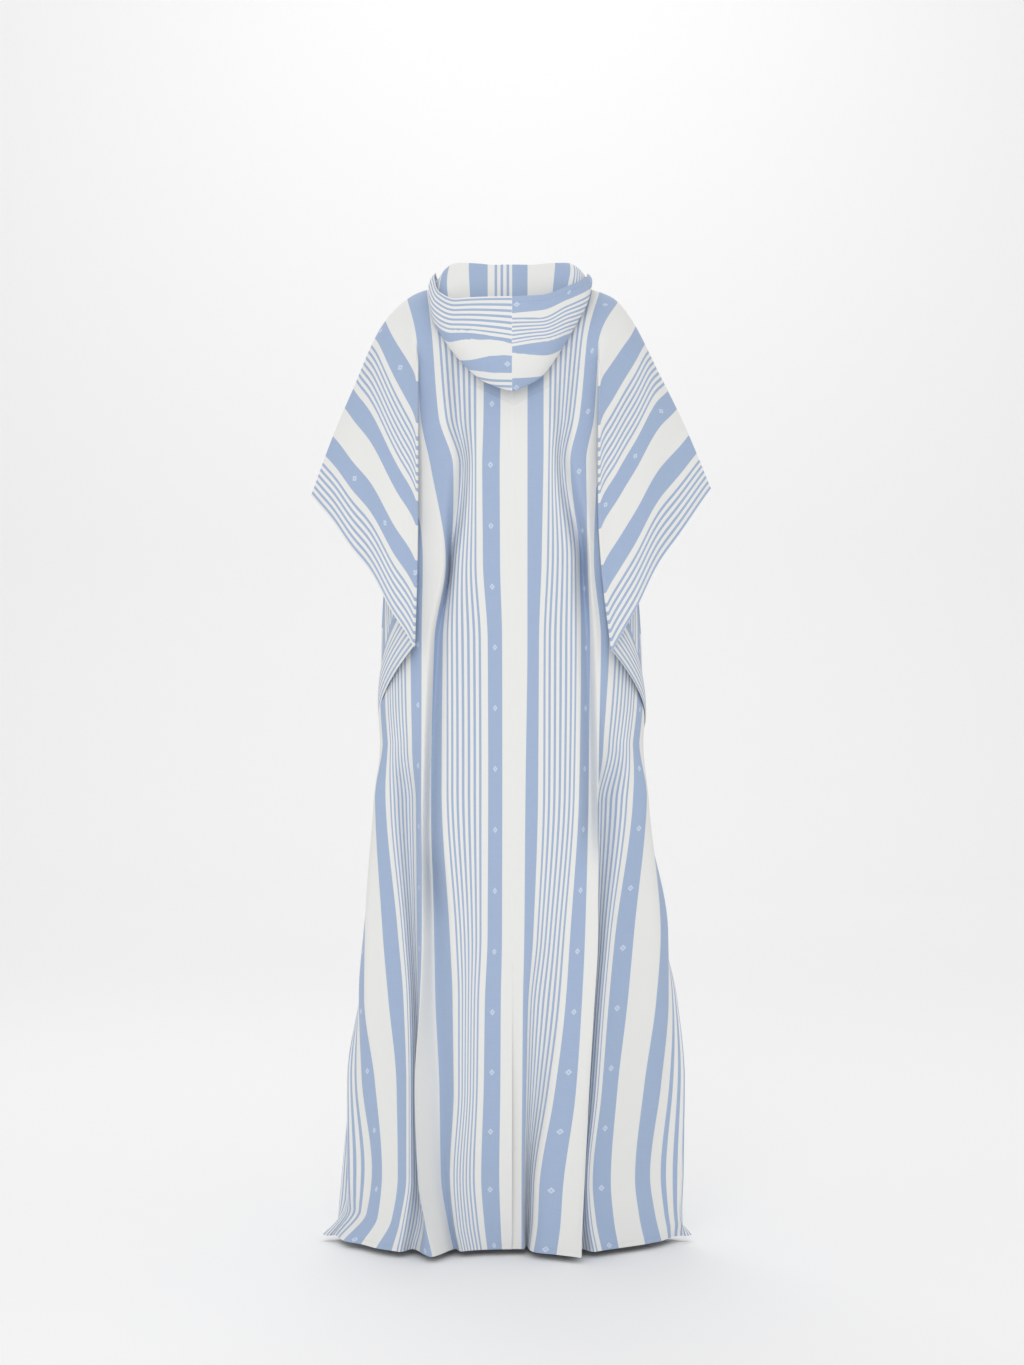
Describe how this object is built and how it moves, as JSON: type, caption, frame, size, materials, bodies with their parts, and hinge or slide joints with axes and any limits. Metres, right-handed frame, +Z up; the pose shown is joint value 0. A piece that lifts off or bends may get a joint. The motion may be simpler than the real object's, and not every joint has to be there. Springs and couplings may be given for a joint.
{
  "type": "hooded kaftan",
  "caption": "Floor-length hooded kaftan in striped cloth, worn form, with wide cut-in-one sleeves, side pleats and an open hanging hood.",
  "frame": {"origin": "where the wearer's neck and shoulders carry the garment: the middle of the neck opening, level with the base of the neck", "axes": "+Z up, the front faces -Y and the back +Y, +X towards the wearer's left sleeve"},
  "size_m": [0.6308, 0.3002, 1.5425],
  "materials": {
    "striped_cloth": "matte woven cotton and linen, pale blue and off-white warp stripes"
  },
  "bodies": {
    "root": {"back_left": "striped_cloth", "back_right": "striped_cloth", "front_left": "striped_cloth", "front_right": "striped_cloth", "hood_left": "striped_cloth", "hood_right": "striped_cloth"}
  },
  "joints": []
}
